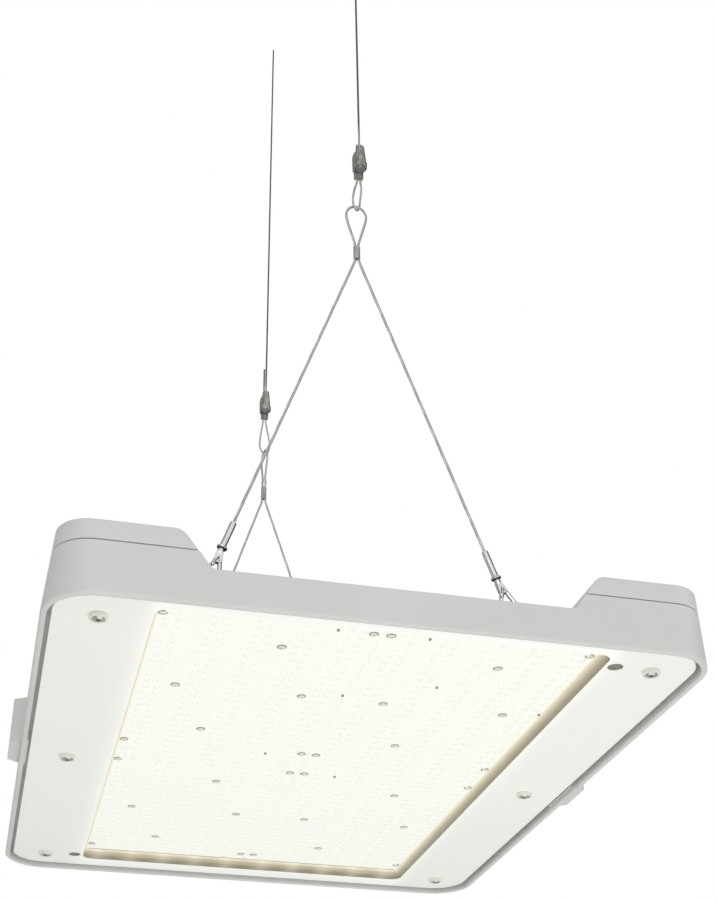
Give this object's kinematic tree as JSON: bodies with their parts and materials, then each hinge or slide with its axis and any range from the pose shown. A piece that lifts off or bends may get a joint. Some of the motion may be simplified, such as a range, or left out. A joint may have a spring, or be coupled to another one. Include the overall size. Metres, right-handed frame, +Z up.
{
  "type": "suspended LED panel grow light",
  "caption": "Flat LED light panel with a glass front, two driver compartments and a finned back, hung from two V-shaped wire rope bridles with snap hooks and wire grippers.",
  "frame": {"origin": "centre of the housing's lower rim, in the plane of its lowest edge", "axes": "+Z up along the suspension wires, +X across the short side, +Y along the long side from the near bridle to the far bridle"},
  "size_m": [0.489, 0.5986, 1.129],
  "materials": {
    "painted_casting": "satin light grey powder coat with a fine grain",
    "seal_rubber": "matt",
    "printed_glass": "polished, with a white printed border",
    "reflector_white": "satin warm white",
    "board_white": "white solder resist",
    "stainless_screw": "bright",
    "white_plastic": "satin",
    "grey_plastic": "matt",
    "driver_case": "satin",
    "cable_jacket": "matt",
    "plated_steel": "zinc plated",
    "wire_rope": "stranded galvanised wire",
    "cast_zinc": "matt die-cast zinc",
    "bright_nickel": "bright nickel plating"
  },
  "bodies": {
    "luminaire": {"housing": "painted_casting", "driver_lid_right": "painted_casting", "driver_lid_left": "painted_casting", "lid_seal_right": "seal_rubber", "lid_seal_left": "seal_rubber", "cover_glass": "printed_glass", "glass_seal": "seal_rubber", "reflector_frame": "reflector_white", "led_board_near_left": "board_white", "led_board_near_right": "board_white", "led_board_far_left": "board_white", "led_board_far_right": "board_white", "glass_screw_near_left": "stainless_screw", "glass_collar_near_left": "white_plastic", "glass_screw_near_right": "stainless_screw", "glass_collar_near_right": "white_plastic", "glass_screw_middle_left": "stainless_screw", "glass_collar_middle_left": "white_plastic", "glass_screw_middle_right": "stainless_screw", "glass_collar_middle_right": "white_plastic", "glass_screw_far_left": "stainless_screw", "glass_collar_far_left": "white_plastic", "glass_screw_far_right": "stainless_screw", "glass_collar_far_right": "white_plastic", "vent_plug_near": "grey_plastic", "vent_plug_far": "grey_plastic", "led_driver_left": "driver_case", "led_driver_right": "driver_case", "terminal_block": "white_plastic", "cable_gland_body": "grey_plastic", "cable_gland_nut": "grey_plastic", "mains_cable": "cable_jacket", "suspension_lug_near_left": "plated_steel", "suspension_lug_near_right": "plated_steel", "suspension_lug_far_left": "plated_steel", "suspension_lug_far_right": "plated_steel"},
    "near_bridle": {"near_bridle_rope": "wire_rope", "near_bridle_crimp": "cast_zinc", "near_hook_left": "bright_nickel", "near_hook_right": "bright_nickel", "near_ferrule_left": "bright_nickel", "near_ferrule_right": "bright_nickel"},
    "near_gate_left": {"near_hook_gate_left": "bright_nickel"},
    "near_gate_right": {"near_hook_gate_right": "bright_nickel"},
    "near_wire": {"near_suspension_wire": "wire_rope"},
    "near_gripper": {"near_wire_gripper": "cast_zinc"},
    "near_plunger": {"near_release_plunger": "bright_nickel"},
    "far_bridle": {"far_bridle_rope": "wire_rope", "far_bridle_crimp": "cast_zinc", "far_hook_left": "bright_nickel", "far_hook_right": "bright_nickel", "far_ferrule_left": "bright_nickel", "far_ferrule_right": "bright_nickel"},
    "far_gate_left": {"far_hook_gate_left": "bright_nickel"},
    "far_gate_right": {"far_hook_gate_right": "bright_nickel"},
    "far_wire": {"far_suspension_wire": "wire_rope"},
    "far_gripper": {"far_wire_gripper": "cast_zinc"},
    "far_plunger": {"far_release_plunger": "bright_nickel"}
  },
  "joints": [
    {"name": "near_bridle_swing", "type": "hinge", "parent": "luminaire", "child": "near_bridle", "pos_m": [0, -0.207, 0.0431], "axis": [1, 0, 0], "range_deg": [-5, 80]},
    {"name": "near_gate_left_hinge", "type": "hinge", "parent": "near_bridle", "child": "near_gate_left", "pos_m": [-0.11069, -0.207, 0.08678], "axis": [0, -1, 0], "range_deg": [0, 25], "stiffness_Nm_per_rad": 0.01},
    {"name": "near_gate_right_hinge", "type": "hinge", "parent": "near_bridle", "child": "near_gate_right", "pos_m": [0.1091, -0.207, 0.08728], "axis": [0, -1, 0], "range_deg": [0, 25], "stiffness_Nm_per_rad": 0.01},
    {"name": "near_wire_swing", "type": "hinge", "parent": "near_bridle", "child": "near_wire", "pos_m": [0, -0.207, 0.458], "axis": [1, 0, 0], "range_deg": [-9, 45]},
    {"name": "near_gripper_slide", "type": "slide", "parent": "near_wire", "child": "near_gripper", "axis": [0, 0, 1], "range_m": [0, 0.012]},
    {"name": "near_plunger_press", "type": "slide", "parent": "near_gripper", "child": "near_plunger", "axis": [0, 0, 1], "range_m": [0, 0.0025], "stiffness_N_per_m": 400},
    {"name": "far_bridle_swing", "type": "hinge", "parent": "luminaire", "child": "far_bridle", "pos_m": [0, 0.207, 0.0431], "axis": [-1, 0, 0], "range_deg": [-5, 80]},
    {"name": "far_gate_left_hinge", "type": "hinge", "parent": "far_bridle", "child": "far_gate_left", "pos_m": [-0.09911, 0.207, 0.08725], "axis": [0, -1, 0], "range_deg": [0, 25], "stiffness_Nm_per_rad": 0.01},
    {"name": "far_gate_right_hinge", "type": "hinge", "parent": "far_bridle", "child": "far_gate_right", "pos_m": [0.10459, 0.207, 0.08747], "axis": [0, -1, 0], "range_deg": [0, 25], "stiffness_Nm_per_rad": 0.01},
    {"name": "far_wire_swing", "type": "hinge", "parent": "far_bridle", "child": "far_wire", "pos_m": [0, 0.207, 0.465], "axis": [0, 1, 0], "range_deg": [-45, 45]},
    {"name": "far_gripper_slide", "type": "slide", "parent": "far_wire", "child": "far_gripper", "axis": [0, 0, 1], "range_m": [0, 0.012]},
    {"name": "far_plunger_press", "type": "slide", "parent": "far_gripper", "child": "far_plunger", "axis": [0, 0, 1], "range_m": [0, 0.0025], "stiffness_N_per_m": 400}
  ]
}
